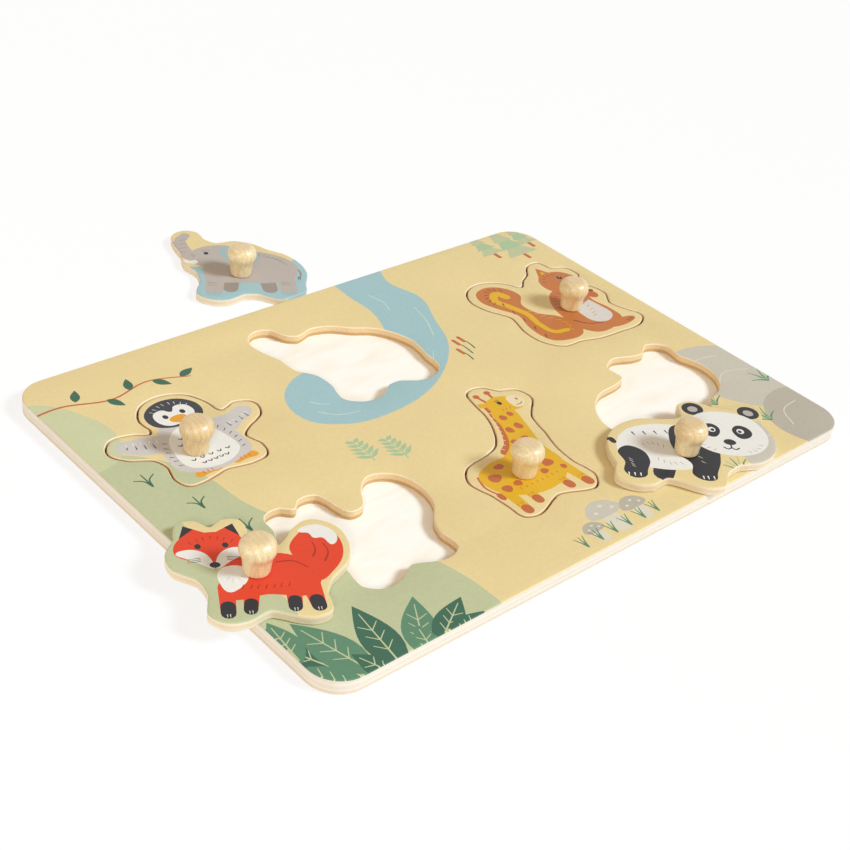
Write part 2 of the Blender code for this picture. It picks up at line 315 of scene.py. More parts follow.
def giraffe_picture():
    art = [
        brush("rust", (-19, 8), (-21, 1), (-19.5, -5), wide=1.1, end=0.9),
        oval("rust", -19.3, -6.6, 1.6, 2.6),
    ]
    legs = (
        ((-7, -6), (-7.5, -16.5), 5.2, 4.5),
        ((10, -6), (11, -16.5), 5.2, 4.5),
        ((-15, -3), (-16, -19), 5.8, 4.7),
        ((18, -2), (19.5, -19), 5.8, 4.7),
    )
    for row in legs:
        art += leg("gold", "rust", *row, foot_length=1.4)
    art += [
        blob(
            "rust", (1.5, 14.5), (8, 12), (16, 20), (22, 36), (23, 46), (20.5, 47), (18, 41), (14, 30),
            (7.6, 20),
        ),
        blob(
            "gold", (-19, -2), (-14, -8.5), (17, -8.5), (21, -2), (21.5, 10), (26, 24), (29.5, 36), (29, 43),
            (20, 41), (15.5, 29), (8, 17), (2, 13.5), (-9, 12.6), (-18.5, 8),
        ),
        brush("rust", (23, 46), (22, 52.4), wide=1.4),
        brush("rust", (27.5, 46), (28.4, 52), wide=1.4),
        oval("rust", 22, 52.8, 1.6, 1.5),
        oval("rust", 28.4, 52.6, 1.6, 1.5),
        leaf("gold", 22, 45, 6.4, 3.6, 158),
        blob(
            "gold", (20, 41), (22, 36.5), (29, 36), (36, 36.6), (39.2, 39.6), (38.5, 44), (33.5, 46.5),
            (28, 48.4), (22, 46.6),
        ),
        blob("cream", (33.4, 45.6), (31.8, 41.5), (32.4, 37.4), (36, 36.7), (39.2, 39.6), (38.5, 44)),
        oval("black", 27.6, 43.6, 1.1, 1.3),
        oval("rust", 36.8, 42.2, 0.6, 0.8),
        brush("rust", (33.6, 38.8), (35.6, 38.4), (37.2, 39.2), wide=0.5, step=0.6),
    ]
    spots = (
        (-13, 4, 3.4, 2.8), (-13.5, -4, 2.6, 2.4), (-6, 9, 2.8, 1.8), (-7, -3.6, 2.2, 2.0),
        (8.5, 6.8, 2.9, 2.6), (14, 0, 3.0, 2.6), (8.5, -3.6, 2.2, 1.8), (15, 9.6, 2.3, 2.6),
        (12.6, 18, 2.0, 2.4), (18.4, 17.6, 2.2, 2.4), (17, 26, 1.9, 2.4), (22.6, 26.4, 2.0, 2.6),
        (21, 34.4, 1.9, 2.2), (25.8, 35, 1.5, 2.0), (18, -5.6, 1.5, 1.8),
    )
    corners = ((0, 1.0), (62, 0.9), (128, 1.02), (190, 0.86), (246, 1.0), (305, 0.92))
    for i, (x, y, half_width, half_height) in enumerate(spots):
        knots = []
        for angle, reach in corners:
            turned = math.radians(angle + 17 * i)
            across, up = half_width * reach, half_height * reach
            knots.append((x + across * math.cos(turned), y + up * math.sin(turned)))
        art.append(blob("rust", *knots, step=0.8))
    for _, (x, y), _, _ in legs:
        art += ticks("rust", (x - 1.8, y + 5.4), (x + 1.8, y + 5.4), count=3, length=1.3, turn=-90, wide=0.4)
    art += [
        *ticks("black", (26.4, 44.8), (28.8, 45.2), count=3, length=1.3, turn=80, wide=0.35),
        *ticks(
            "cream", (3.4, 15.4), (9, 20.6), (15, 31.4), (19.4, 41), count=9, length=1.6, turn=80, wide=0.45,
        ),
        *ticks("rust", (-10, -7.4), (2, -7.8), (14, -7.4), count=8, length=1.4, turn=75, wide=0.45),
        *ticks("rust", (24, 38.4), (30, 38), count=3, length=1.4, turn=60, wide=0.4),
    ]
    return art


# %% Draw the squirrel


def squirrel_picture():
    art = [
        blob(
            "brown", (-31, -17), (-23, -21.5), (-13, -21), (-8, -13), (-12, -3), (-19, 5), (-20, 14),
            (-14, 22), (-16.5, 31), (-25, 36), (-33, 33.6), (-36, 27), (-33.6, 18), (-29, 8), (-32, -3),
            (-32.6, -11),
        ),
        brush(
            "gold", (-17, -14.5), (-24, -12.5), (-25.6, -4), (-24, 6), (-26.6, 16), (-28.6, 25),
            (-23.6, 28.5), (-21.4, 24), wide=2.6, end=4.4,
        ),
        blob(
            "brown", (-6, -23.5), (7, -24.5), (15.5, -21), (17, -11), (15.5, -1), (18, 9), (12, 16), (1, 15),
            (-7, 6), (-10.5, -6), (-10.5, -17),
        ),
        blob("pale_grey", (7, -19), (13.5, -16), (14.4, -6), (12.6, 3), (8, 8), (3, 3), (0, -7), (1, -16)),
        oval("brown", 12.6, -23.2, 9.2, 2.9),
        brush("dark_brown", (-8, -10), (-3, -16.4), (4, -19), wide=0.8, end=0.5),
        polygon("brown", (5.6, 27), (17.2, 27), (12.6, 37.6)),
        polygon("gold", (9.2, 28.6), (14.8, 28.4), (12.5, 34.0)),
        blob(
            "brown", (4, 15), (11, 11), (20, 13), (25, 19), (24.4, 23), (21, 28.6), (14, 31), (6.5, 29),
            (2.6, 22),
        ),
        blob("pale_grey", (24.6, 19.4), (20.8, 22.6), (16.4, 20.4), (14.6, 16), (17.6, 12.8), (21.6, 14.4)),
        oval("black", 16.8, 24.2, 1.4, 1.6),
        oval("pale_grey", 17.3, 24.8, 0.4, 0.4, points=12),
        oval("black", 24.2, 20.2, 1.2, 1.0),
        brush("brown", (3, 6), (10, 2), (17, 5), wide=5.0, end=4.0),
        oval("rust", 19.4, 3.4, 2.9, 3.4),
        brush("dark_brown", (17.0, 6.6), (19.6, 7.8), (22, 6.4), wide=2.0),
        brush("dark_brown", (3, 8.6), (9.5, 5), (14, 6.2), wide=0.7, end=0.4),
    ]
    for i in range(5):
        shift = Vector((0.6 * i, 8 * i))
        art.append(
            brush(
                "dark_brown", Vector((-30, -12)) + shift, Vector((-31.2, -14.5)) + shift, wide=0.8, end=0.4,
            ),
        )
    art += [
        *ticks("gold", (-15, -18), (-12.6, -9), (-17.6, 1), (-21, 9), count=8, length=2.4, turn=35),
        *ticks(
            "dark_brown", (-32, 20), (-31, 29), (-24, 34), (-18, 30), count=8, length=2.4, turn=-60,
            wide=0.6,
        ),
        *ticks("brown", (4, -13), (8, -4), (8, 3), count=6, length=2.0, turn=-70, wide=0.45),
        *ticks("dark_brown", (-7, 2), (-2, 10), (5, 14), count=6, length=2.2, turn=-75),
        *ticks("dark_brown", (21.0, 17.8), (21.6, 15.8), count=3, length=4.2, turn=75, wide=0.35),
        *ticks("black", (15.4, -23.2), (20.6, -23.0), count=3, length=1.8, turn=-80),
        *ticks("dark_brown", (5, 24), (10, 29), (17, 28.6), count=5, length=1.8, turn=-80, wide=0.45),
    ]
    return art


# %% Draw the penguin


def penguin_picture():
    art = [
        blob("orange", (-10, -15.6), (-4, -16), (2, -15.4), (0, -11), (-6, -11)),
        blob("orange", (8, -15.4), (14, -16), (20, -15.6), (16, -11), (10, -11)),
        blob("lilac_grey", (-8, 16), (-17, 19), (-25, 19.6), (-27.6, 16), (-23.6, 11), (-15, 6), (-9, 5)),
        blob("lilac_grey", (17, 14), (20, 3), (28, 6.6), (34.6, 9.6), (36.6, 13), (33, 16.6), (26, 14.6)),
        blob(
            "lilac_grey", (-13, -9), (-6, -14), (13, -14), (20, -11), (21.6, -2), (20, 9), (15, 19), (6, 24),
            (-4, 21), (-10, 12), (-13.6, 1),
        ),
        blob(
            "white", (-8.4, -9), (-3, -12.4), (10, -12.4), (16, -8), (16.4, 2), (12, 13), (4, 17), (-5, 12),
            (-9, 2),
        ),
        blob(
            "charcoal", (-5, 22), (0, 18.4), (8, 17.6), (17.6, 20.6), (19.4, 27), (15.6, 34), (8, 37),
            (0, 35.4), (-5.4, 30),
        ),
        blob(
            "white", (6.4, 19), (12.4, 20.2), (15.6, 25), (13.8, 30.2), (9.6, 31), (6.6, 28), (3.6, 31),
            (-0.6, 30.4), (-2.6, 25), (0, 20),
        ),
        oval("black", 2.4, 26, 1.2, 1.5),
        oval("black", 10.8, 26, 1.2, 1.5),
        blob("orange", (2.6, 23.2), (6.6, 19.6), (10.4, 23.4), (6.6, 25)),
    ]
    for height, half_row in ((9.5, 5), (5.5, 8), (-5.5, 9), (-9, 6)):
        for k in range(-2, 3):
            x = 3.6 + k * half_row / 2.2
            knots = ((x - 0.9, height + 0.5), (x, height - 0.4), (x + 0.9, height + 0.5))
            art.append(brush("charcoal", *knots, wide=0.55, step=0.5))
    for k in range(4):
        left = ((-13 - 3.4 * k, 9.6 + 1.7 * k), (-12.6 - 3.3 * k, 12.6 + 1.2 * k))
        right = ((22 + 3.4 * k, 6.6 + 0.7 * k), (21.6 + 3.4 * k, 9.4 + 0.6 * k))
        art += [brush("charcoal", *edge, wide=0.6, end=0.3) for edge in (left, right)]
    for x in (-4, 14):
        art += ticks("rust", (x - 3, -13.6), (x + 3, -13.6), count=3, length=1.8, turn=-90)
    art += [
        *ticks(
            "lilac_grey", (-2.6, 31.4), (4, 34.6), (12, 33.6), (16.4, 28.6), count=8, length=1.7, turn=-80,
            wide=0.45,
        ),
        *ticks("charcoal", (18.6, -9), (19.8, 0), (17.6, 9), (13, 17), count=8, length=1.8, turn=110),
        *ticks("charcoal", (-11.6, -7), (-11.6, 3), (-8.6, 12), count=6, length=1.8, turn=-110),
        *ticks("white", (-9, 12), (-18, 15.6), (-24, 16.6), count=5, length=1.6, turn=-90, wide=0.45),
        *ticks("white", (21, 9), (28, 10.4), (34, 12.6), count=5, length=1.6, turn=-90, wide=0.45),
    ]
    return art


# %% Draw the elephant


def elephant_picture():
    art = [
        brush("dark_taupe", (-5, -4), (-6.5, -14.6), wide=8, end=7.4),
        brush("dark_taupe", (12, -4), (12.6, -15.6), wide=8, end=7.4),
        brush("dark_taupe", (27.6, 6), (29.6, 0), (28.6, -4.6), wide=1.2, end=0.9),
        blob(
            "taupe", (27, -2), (28.6, 6), (25, 14), (17, 20), (6, 23), (-6, 22), (-15, 14), (-18, 4),
            (-17, -6), (0, -9), (16, -9),
        ),
        brush("taupe", (-13, -4), (-14.6, -17.6), wide=9.6, end=8.4),
        brush("taupe", (21.6, -3), (21.4, -17.6), wide=9.6, end=8.4),
        blob(
            "taupe", (-1, 22), (-3, 28), (-10, 29), (-17, 27), (-22, 23), (-23.6, 15), (-20, 8), (-12, 6),
            (-4, 12),
        ),
        brush("taupe", (-17, 14), (-23.4, 18), (-26.6, 26), (-27.4, 34), (-24.4, 39.4), wide=9.4, end=5.0),
        blob("dusty_blue", (-8, 25), (-6.6, 16), (-4, 9), (1, 6), (7.4, 9.6), (10.4, 18), (7, 26), (-1, 28)),
        blob(
            "taupe", (-5.6, 23), (-4.4, 17), (-2.4, 11), (1, 8.6), (5.6, 11.2), (8, 17.6), (5.6, 23.6),
            (-0.6, 25.6),
        ),
        oval("black", -15.4, 20.6, 1.2, 1.4),
        blob("white", (-20.4, 10.6), (-20.8, 13.4), (-24.0, 12.8), (-27.0, 13.4), (-24.6, 10.4)),
        brush("dark_taupe", (14, 17), (20, 14), (24, 8), wide=0.7, end=0.4),
    ]
    for foot in (-14.8, 21.4):
        for k in (-1, 0, 1):
            art.append(oval("dusty_blue", foot + k * 2.6, -19.6, 1.2, 1.5))
    for k in range(4):
        fold = ((-28.6 + 0.5 * k, 21.6 + 4.2 * k), (-25.0 + 0.4 * k, 22.4 + 4.2 * k))
        art.append(brush("dark_taupe", *fold, wide=0.6, end=0.4))
    for x in (-14.4, 21.5):
        art += ticks("dark_taupe", (x - 2.6, -7.6), (x - 2.6, -12.4), count=3, length=4.6, turn=85)
    art += [
        brush("dusty_blue", (-8.6, 17), (-12.4, 13.6), (-13.4, 9.4), wide=0.7, end=0.4),
        brush("dark_taupe", (-17.4, 23.2), (-15.2, 24), (-13.2, 23), wide=0.6, end=0.4),
        *ticks("dark_taupe", (8, 21), (16, 18.2), (22.6, 12.6), count=7, length=2.2, turn=-95),
        *ticks("dark_taupe", (-2.4, 13), (1, 11), (5, 13.6), (6.4, 18), count=6, length=2.2, turn=85),
        *ticks("dusty_blue", (1, -7), (14, -7), count=6, length=1.8, turn=75, wide=0.6),
        *ticks("dark_taupe", (-22.4, 16), (-20.6, 18.4), count=2, length=3.4, turn=60),
        *ticks("charcoal", (27.8, -3.8), (29.2, -3.9), count=3, length=2.8, turn=-90),
    ]
    return art


# %% [markdown]
# ## The landscape on the board
#
# The board's own print is one plain landscape: sage hills, a brook, a dark bush, fir trees, boulders and
# toadstools on a sand ground. Its points are in millimetres from the middle of the board. The animals
# were sawn out of the same printed sheet, so the landscape runs on across each of them.

# %% Draw hills, brook and fir trees


def hills():
    art = [
        blob(
            "sage", (-160, 48), (-142, 47), (-126, 34), (-116, 14), (-113, -8), (-104, -30), (-88, -48),
            (-76, -70), (-70, -96), (-72, -120), (-160, -120), step=2,
        ),
        blob("pale_sage", (-160, 96), (-146, 92), (-134, 76), (-130, 58), (-136, 44), (-160, 40), step=2),
    ]
    for x, y, tall in ((-137, 20, 9), (-128, -2, 8), (-134, -62, 8), (-121, -24, 9), (-96, -62, 7)):
        for lean in (-0.5, 0.0, 0.5):
            tip = (x + tall * lean, y + tall * (1 - abs(lean) * 0.5))
            middle = (x + tall * lean * 0.3, y + tall * 0.5)
            art.append(brush("deep_green", (x, y), middle, tip, wide=0.9, end=0.5))
    return art


def brook():
    water = blob(
        "blue", (30, 122), (54, 118), (50, 96), (54, 78), (46, 58), (38, 40), (22, 24), (4, 14), (-20, 9),
        (-44, 12), (-58, 24), (-57, 40), (-44, 52), (-30, 54), (-12, 44), (6, 48), (18, 62), (24, 78),
        (24, 98), step=2,
    )
    ripples = (
        ((-50, 26), (-44, 20), (-34, 17)),
        ((-48, 34), (-46, 31), (-42, 28)),
        ((36, 48), (42, 60), (45, 72)),
        ((33, 92), (35, 84), (33, 76)),
        ((8, 22), (18, 28), (26, 37)),
    )
    art = [water, *[brush("pale_blue", *ripple, wide=0.8, end=0.5) for ripple in ripples]]
    for x, y, tall in ((41, 26, 12), (45, 29, 10), (37.5, 22, 9)):
        stalk = ((x, y), (x + 0.5, y + tall / 2), (x - 0.5, y + tall))
        art.append(brush("deep_green", *stalk, wide=0.8, end=0.6))
        art.append(brush("rust", (x - 0.4, y + tall - 3), (x - 0.6, y + tall + 1), wide=1.9))
    return art


def fir_trees():
    art = []
    for x, y, tall in ((132, 84, 30), (118, 92, 22), (143, 92, 20)):
        art.append(polygon("rust", (x - 1.1, y - 5), (x + 1.1, y - 5), (x + 1.1, y), (x - 1.1, y)))
        for tier in range(3):
            low = y + tall * 0.26 * tier
            half = tall * (0.34 - 0.07 * tier)
            left, right, top = (x - half, low), (x + half, low), (x, low + tall * 0.5)
            art.append(polygon("pale_green" if tier % 2 else "sage", left, right, top))
    return art


# %% Draw bush, boulders, toadstools and twig


def leafy_bush():
    art = []
    leaves = (
        (-142, -100, 30, 14, 116), (-132, -110, 38, 16, 104), (-122, -114, 36, 15, 82),
        (-112, -114, 32, 14, 58), (-104, -112, 28, 12, 32), (-150, -92, 24, 12, 84), (-98, -112, 20, 10, 12),
        (-138, -116, 30, 13, 124), (-124, -120, 24, 12, 112), (-110, -120, 22, 11, 74),
    )
    for i, (x, y, length, width, turn) in enumerate(leaves):
        art.append(leaf("leaf_green" if i % 2 else "deep_green", x, y, length, width, turn))
        along = Matrix.Rotation(math.radians(turn), 2) @ Vector((length, 0))
        across = Vector((-along.y, along.x)).normalized()
        stalk = Vector((x, y))
        art.append(brush("sage", stalk + along * 0.08, stalk + along * 0.86, wide=0.8, end=0.4))
        for k in (0.3, 0.45, 0.6):
            for side in (-1, 1):
                root = stalk + along * k
                tip = root + along * 0.1 + across * side * width * 0.26
                art.append(brush("sage", root, tip, wide=0.5, end=0.35))
    return art


def boulders():
    art = [
        blob(
            "rock", (112, -36), (124, -26), (146, -30), (162, -44), (162, -92), (132, -84), (114, -62),
            step=2,
        ),
        blob(
            "dark_rock", (122, -112), (118, -92), (130, -76), (148, -74), (164, -88), (164, -124),
            (128, -124), step=2,
        ),
        brush("pale_rock", (120, -42), (128, -36), (142, -38), wide=0.7, end=0.5),
        brush("pale_rock", (126, -96), (132, -86), (143, -84), wide=0.7, end=0.5),
        brush("pale_rock", (122, -56), (132, -50), (146, -54), wide=0.6, end=0.4),
    ]
    for x, y in ((146, -66), (120, -88), (108, -66)):
        for k in range(7):
            turn = math.radians(30 + 20 * k)
            reach = 11 - abs(k - 3) * 0.9
            tip = (x + reach * math.cos(turn), y + reach * math.sin(turn))
            middle = (x + reach * 0.5 * math.cos(turn) * 0.8, y + reach * 0.55 * math.sin(turn))
            ink = "pale_green" if k % 2 else "leaf_green"
            art.append(brush(ink, (x, y), middle, tip, wide=1.2, end=0.4))
    return art


def toadstools():
    art = []
    for x, y, size in ((4, -101, 1.0), (18, -102, 0.75), (-8, -103, 0.6)):
        cap = [(-9, 8), (-6, 6.6), (0, 6.2), (6, 6.6), (9, 8), (7, 13.4), (0, 16.4), (-7, 13.4)]
        stalk = [(-2.4, -4), (2.4, -4), (2.2, 7), (-2.2, 7)]
        for ink, shape in (("pale_rock", stalk), ("rock" if size > 0.9 else "dark_rock", cap)):
            art.append(blob(ink, *[(x + px * size, y + py * size) for px, py in shape]))
        for px, py in ((-4, 10), (1, 12.6), (5, 9.6)):
            art.append(oval("pale_rock", x + px * size, y + py * size, 1.1 * size, 0.9 * size, points=14))
    for k in range(6):
        x = -18 + 8.4 * k
        for lean in (-2.2, 0.4, 2.6):
            blade = ((x, -104), (x + lean * 0.4, -101), (x + lean, -97.6))
            art.append(brush("leaf_green", *blade, wide=0.9, end=0.4))
    return art


def twigs():
    art = [brush("rust", (-160, 84), (-140, 86), (-118, 80), (-98, 84), (-80, 78), wide=1.2, end=0.7)]
    for x, y, turn in ((-132, 86, 62), (-120, 81, -60), (-108, 82, 70), (-96, 83.6, -50), (-84, 80, 20)):
        art.append(leaf("deep_green", x, y, 9, 4.2, turn))
    for x, y in ((-52, -14), (-39, -20)):
        art.append(brush("pale_green", (x, y), (x + 1, y + 8), (x - 1, y + 17), wide=0.7, end=0.4))
        for k in range(5):
            for side in (-1, 1):
                art.append(leaf("pale_green", x + 0.6, y + 2 + 3 * k, 7.5 - 0.8 * k, 2.2, 90 - side * 58))
    return art


def landscape():
    return [*hills(), *brook(), *fir_trees(), *leafy_bush(), *boulders(), *toadstools(), *twigs()]


print("landscape:", len(landscape()), "shapes")


# %% [markdown]
# ## Small tools for materials
#
# Every finish here is a tree of procedural nodes. One function adds a node with its settings and links,
# and one turns a screen colour into the linear numbers that the shader reckons with. Noise makes clouds
# and flecks, and noise drawn out along one axis makes the grain of wood.

# %% Node and colour helpers


def linear(colour):
    """A screen colour such as #E5D09E as the linear colour that a shader needs."""
    channels = [int(colour[i : i + 2], 16) / 255 for i in (1, 3, 5)]
    curve = [c / 12.92 if c <= 0.04045 else ((c + 0.055) / 1.055) ** 2.4 for c in channels]
    return (*curve, 1.0)


def toned(colour, factor):
    """The linear colour made a little darker or lighter."""
    red, green, blue, alpha = linear(colour)
    return (min(1.0, red * factor), min(1.0, green * factor), min(1.0, blue * factor), alpha)


def feed(tree, node, inputs):
    """Links each input of a node to an output, or gives it a value or a screen colour."""
    for name, value in inputs.items():
        if isinstance(value, bpy.types.NodeSocket):
            tree.links.new(value, node.inputs[name])
        else:
            node.inputs[name].default_value = linear(value) if isinstance(value, str) else value


def add_node(tree, kind, settings=None, inputs=None):
    """A shader node with its settings made and its inputs fed."""
    node = tree.nodes.new(kind)
    for name, value in (settings or {}).items():
        setattr(node, name, value)
    feed(tree, node, inputs or {})
    return node


def new_material(name, roughness, specular=0.5):
    material = bpy.data.materials.new(name)
    material.use_nodes = True
    tree = material.node_tree
    shader = tree.nodes["Principled BSDF"]
    feed(tree, shader, {"Metallic": 0.0, "Roughness": roughness, "IOR": 1.5, "Specular IOR Level": specular})
    return material, tree, shader


# Vector and colour mixes have sockets of the same name, so the colour ones are picked by place
MIX_FACTOR, MIX_FIRST, MIX_SECOND, MIX_RESULT = 0, 6, 7, 2


def mixed(tree, factor, first, second, blend="MIX"):
    """A colour between two others, or one laid over the other."""
    settings = {"data_type": "RGBA", "blend_type": blend}
    inputs = {MIX_FACTOR: factor, MIX_FIRST: first, MIX_SECOND: second}
    return add_node(tree, "ShaderNodeMix", settings, inputs).outputs[MIX_RESULT]


# %% Clouds, grain and relief


def spread(tree, value, low, high, least=0.0, most=1.0):
    """A value between low and high, drawn out to between least and most."""
    inputs = {"Value": value, "From Min": low, "From Max": high, "To Min": least, "To Max": most}
    return add_node(tree, "ShaderNodeMapRange", None, inputs).outputs["Result"]


def object_place(tree):
    return add_node(tree, "ShaderNodeTexCoord").outputs["Object"]


def noise(tree, place, length, detail, distortion=0.0):
    """Noise whose clouds are about a length across."""
    inputs = {"Vector": place, "Scale": 1 / length, "Detail": detail, "Distortion": distortion}
    return add_node(tree, "ShaderNodeTexNoise", None, inputs).outputs["Fac"]


def fibres(tree, place, lengths, detail, distortion=0.0):
    """Noise drawn out along the grain, with a length for each axis."""
    inputs = {"Vector": place, "Scale": [1 / length for length in lengths]}
    drawn_out = add_node(tree, "ShaderNodeMapping", None, inputs).outputs["Vector"]
    return noise(tree, drawn_out, 1.0, detail, distortion)


def upward(tree):
    """1 where a surface faces up, 0 on a wall and -1 underneath."""
    slope = add_node(tree, "ShaderNodeNewGeometry").outputs["Normal"]
    return add_node(tree, "ShaderNodeSeparateXYZ", None, {"Vector": slope}).outputs["Z"]


def relief(tree, shader, height, strength, depth):
    """Makes the surface look uneven by a depth."""
    inputs = {"Height": height, "Strength": strength, "Distance": depth}
    bump = add_node(tree, "ShaderNodeBump", None, inputs)
    feed(tree, shader, {"Normal": bump.outputs["Normal"]})


# %% [markdown]
# ## Printing ink on birch plywood
#
# The board is birch plywood with a screen-printed, matt-varnished face. Thin ink lets a little of the
# wood's grain through, its tone is never quite even, and the varnish dries with a fine ripple, like very
# shallow leather. The ripple is about 1.5 mm from crest to crest, a little coarser than the real one,
# because a finer one would vanish at this picture's size.

# %% Make the inks
INKS = {
    "sand": "#ECD69D",
    "sage": "#C3C89F",
    "pale_sage": "#D0D2A8",
    "pale_green": "#AFC79E",
    "leaf_green": "#5F8A6D",
    "deep_green": "#3D6852",
    "blue": "#A5C7CC",
    "pale_blue": "#C6DAD4",
    "rock": "#CFC8B9",
    "dark_rock": "#BDB5A6",
    "pale_rock": "#E2DBC6",
    "red": "#E5472B",
    "dark_red": "#AE3324",
    "white": "#F1EFEA",
    "black": "#2B2A2D",
    "gold": "#E6B428",
    "rust": "#C56B3F",
    "cream": "#F0DFB8",
    "pale_grey": "#DDD7CF",
    "brown": "#C8783F",
    "dark_brown": "#7B4222",
    "lilac_grey": "#D2CCC8",
    "charcoal": "#3F3D41",
    "orange": "#EDA335",
    "taupe": "#BFB4AC",
    "dark_taupe": "#A09389",
    "dusty_blue": "#9DBEC5",
}
CLOUD_LENGTH = 26 * MM
MOTTLE_LENGTH = 1.3 * MM
FIBRE_WIDTH = 0.9 * MM
FIBRE_LENGTH = 34 * MM
RIPPLE_LENGTH = 1.5 * MM
RIPPLE_DEPTH = 0.08 * MM


def screen_printed_ink(name, colour):
    """Flat ink under matt varnish: an even colour with a slight cloud, mottle and grain in it."""
    material, tree, shader = new_material("screen_printed_ink_" + name, roughness=0.5, specular=0.3)
    place = object_place(tree)
    cloud = noise(tree, place, CLOUD_LENGTH, detail=3.0)
    mottle = noise(tree, place, MOTTLE_LENGTH, detail=2.0)
    fibre = fibres(tree, place, (FIBRE_LENGTH, FIBRE_WIDTH, FIBRE_WIDTH), detail=3.0)
    base = mixed(tree, cloud, toned(colour, 0.87), toned(colour, 0.97))
    grained = mixed(tree, fibre, toned(colour, 0.86), toned(colour, 0.98))
    speckled = mixed(tree, spread(tree, mottle, 0.32, 0.68), toned(colour, 0.82), toned(colour, 1.0))
    tone = mixed(tree, 0.5, base, mixed(tree, 0.5, grained, speckled))
    gloss = spread(tree, cloud, 0.3, 0.7, least=0.46, most=0.56)
    feed(tree, shader, {"Base Color": tone, "Roughness": gloss})
    ripple = noise(tree, place, RIPPLE_LENGTH, detail=2.0, distortion=0.6)
    relief(tree, shader, ripple, strength=0.5, depth=RIPPLE_DEPTH)
    return material


ink_materials = {name: screen_printed_ink(name, colour) for name, colour in INKS.items()}
INK_ORDER = list(INKS)
print("inks:", len(ink_materials))

# %% [markdown]
# ## Sawn and sanded plywood
#
# A sawn edge shows the veneers: about 1.3 mm each, cut along the grain and across it by turns, so light
# and slightly darker bands lie on each other with a hair of brown glue between. On the sanded face the
# veneer is almost white, with a long fine figure. The height above the sheet's underside is stored on the
# mesh, so every sheet, wherever it lies, has its bands in the right place.

# %% Make the plywood
HEIGHT_NAME = "height_in_sheet"
TALLEST = 8.0
VENEER = 4.0 / 3
EDGE_TONES = ("#E2DACE", "#D9CCB8")
PIECE_TONES = ("#E6D8BE", "#D9C095")
# Walls of seated pieces: toasted by the laser, and darker than the loose pieces' walls as painted shade of
# the narrow gap round them
TOASTED_AND_PAINTED_SHADE_TONES = ("#CFA673", "#A9743F")
# Cut-out walls from the underside up: the dark band at the foot is toasted wood and painted shade, and the
# near-white top band is the sanded rim and a painted highlight
RECESS_TONES_PAINTED_SHADE_AND_HIGHLIGHT = ("#D5B07C", "#F2DFBB", "#D5B07C", "#B88A52", "#ECD5A8", "#FFF5E0")
GLUE_TONE = "#D9BF95"
GLUE_HALF = 0.03
BLEND_HALF = 0.14
SAWN_LENGTH = 0.8 * MM
SAWN_DEPTH = 0.03 * MM
FIGURE_WIDTH = 1.6 * MM
FIGURE_LENGTH = 60 * MM


def band_ramp(tree, height, joints, tones):
    """Bands of veneer up the edge, with a thin glue line at each joint, for a height from 0 to 1."""
    ramp = add_node(tree, "ShaderNodeValToRGB", None, {"Fac": height})
    stops = ramp.color_ramp.elements
    stops[0].position = 0.0
    stops[0].color = linear(tones[0])
    stops[-1].position = 1.0
    stops[-1].color = linear(tones[len(joints) % len(tones)])
    for i, joint in enumerate(joints):
        marks = (
            (joint - BLEND_HALF, tones[i % len(tones)]),
            (joint - GLUE_HALF, GLUE_TONE),
            (joint + GLUE_HALF, GLUE_TONE),
            (joint + BLEND_HALF, tones[(i + 1) % len(tones)]),
        )
        for level, tone in marks:
            stop = stops.new(level / TALLEST)
            stop.color = linear(tone)
    return ramp.outputs["Color"]


def birch_figure(tree, place):
    return fibres(tree, place, (FIGURE_LENGTH, FIGURE_WIDTH, FIGURE_WIDTH), detail=4.0, distortion=0.8)


def face_or_edge(tree, face, edge):
    """The face's colour where the sheet lies flat, and the edge's on its walls."""
    flatness = add_node(tree, "ShaderNodeMath", {"operation": "ABSOLUTE"}, {0: upward(tree)})
    return mixed(tree, spread(tree, flatness.outputs["Value"], 0.35, 0.85), edge, face)


def birch_plywood(name, joints, tones):
    material, tree, shader = new_material("sanded_birch_plywood_" + name, roughness=0.5)
    place = object_place(tree)
    height = add_node(tree, "ShaderNodeAttribute", {"attribute_name": HEIGHT_NAME}).outputs["Fac"]
    bands = band_ramp(tree, spread(tree, height, 0.0, TALLEST), joints, tones)
    sawn = noise(tree, place, SAWN_LENGTH, detail=3.0)
    edge = mixed(tree, sawn, bands, tones[0])
    face = mixed(tree, birch_figure(tree, place), "#EBD7AE", "#F6E9CB")
    feed(tree, shader, {"Base Color": face_or_edge(tree, face, edge)})
    relief(tree, shader, sawn, strength=0.35, depth=SAWN_DEPTH)
    return material


piece_edge = birch_plywood("piece_edge", (VENEER, 2 * VENEER), PIECE_TONES)
seated_edge_painted_gap_shade = birch_plywood("laser_cut_piece_painted_gap_shade", (VENEER, 2 * VENEER), TOASTED_AND_PAINTED_SHADE_TONES)
board_edge = birch_plywood("board_edge", (1.0, 2.0, 3.15, 4.5, 5.9), EDGE_TONES)
recess_edge_painted_shade_and_highlight = birch_plywood("laser_recess_painted_shade_highlight", (1.0, 2.0, 3.15, 4.6, 6.75), RECESS_TONES_PAINTED_SHADE_AND_HIGHLIGHT)
SANDED_EDGES = (board_edge, piece_edge)
print("plywood:", piece_edge.name, board_edge.name, recess_edge_painted_shade_and_highlight.name)

# %% [markdown]
# ## Turned and lacquered beech
#
# The knobs are turned on a lathe from beech dowel, then dipped in clear lacquer. The grain runs up the
# knob, so growth rings are straight lines on its side and arcs on its top, where end grain drinks more
# lacquer and looks darker. The lacquer is a clear coat: smooth, with soft lights over the wood. Each knob
# comes from another plank, so some are paler and some are browner.

# %% Make the beech
RING_SPACING = 2.3 * MM
PORE_WIDTH = 0.5 * MM
PORE_LENGTH = 5.0 * MM
FLECK_SIZE = 0.55 * MM
PLANK_SPACING = 55 * MM
# The distance between two bands of a wave texture whose scale is 1
WAVE_LENGTH = 0.314


